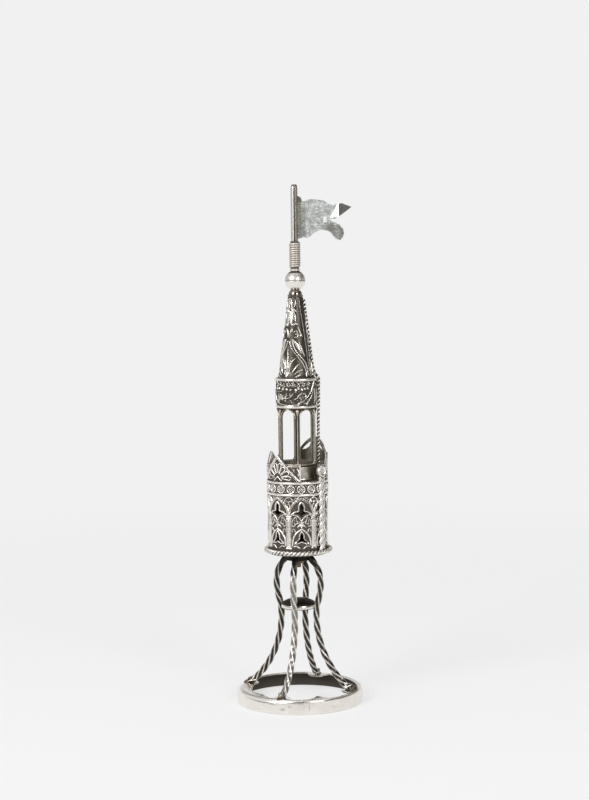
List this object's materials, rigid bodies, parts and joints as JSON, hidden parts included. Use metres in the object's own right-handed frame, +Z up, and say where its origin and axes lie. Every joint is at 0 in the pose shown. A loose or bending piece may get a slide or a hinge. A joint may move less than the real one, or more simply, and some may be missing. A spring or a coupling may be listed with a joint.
{
  "type": "spice tower",
  "caption": "Gothic silver spice tower: ring foot with twisted-wire legs, pierced spice box, lift-off lantern and spire lid, ball finial, wound collar and a turning flag.",
  "frame": {"origin": "centre of the base ring's underside", "axes": "+Z up along the tower's axis, -Y towards the pictured front, +X to the right, where the flag points"},
  "size_m": [0.0488, 0.0488, 0.2],
  "materials": {
    "polished_silver": "polished, worn and lightly scratched",
    "stamped_silver": "stamped relief, dark in the recesses and bright on the crests",
    "silver_wire": "twisted wire, dark in the grooves",
    "flag_silver": "engraved sheet, tarnished",
    "tarnished_brass": "brown, tarnished"
  },
  "bodies": {
    "stand": {"base_ring": "polished_silver", "leg_front": "silver_wire", "leg_right": "silver_wire", "leg_back": "silver_wire", "leg_left": "silver_wire", "foot_beads": "polished_silver", "waist_collar": "polished_silver", "leg_head_plate": "polished_silver", "fixing_stud": "tarnished_brass", "fixing_nut": "tarnished_brass", "box_floor": "polished_silver", "box_wall": "stamped_silver", "rope_rim": "silver_wire", "rosette_band": "stamped_silver", "gallery": "stamped_silver", "rear_gable": "stamped_silver", "box_seam_rope": "silver_wire", "seam_button": "polished_silver", "lid_seat_ring": "polished_silver"},
    "tower": {"lid_plate": "polished_silver", "lid_plug": "polished_silver", "lantern": "stamped_silver", "drum_lower_ring": "silver_wire", "frieze_drum": "stamped_silver", "drum_upper_ring": "silver_wire", "spire": "stamped_silver", "tower_seam_wire": "silver_wire", "spire_cap": "polished_silver", "ball_lower_half": "polished_silver", "ball_upper_half": "polished_silver", "neck_ring": "flag_silver", "spindle": "flag_silver", "spindle_head": "flag_silver", "coil_collar": "silver_wire"},
    "flag": {"flag_sleeve": "flag_silver", "flag_blade": "flag_silver"}
  },
  "joints": [
    {"name": "lid_lift", "type": "slide", "parent": "stand", "child": "tower", "axis": [0, 0, 1], "range_m": [0, 0.04]},
    {"name": "flag_spin", "type": "hinge", "parent": "tower", "child": "flag", "pos_m": [0, 0, 0.1885], "axis": [0, 0, 1], "continuous": true}
  ]
}
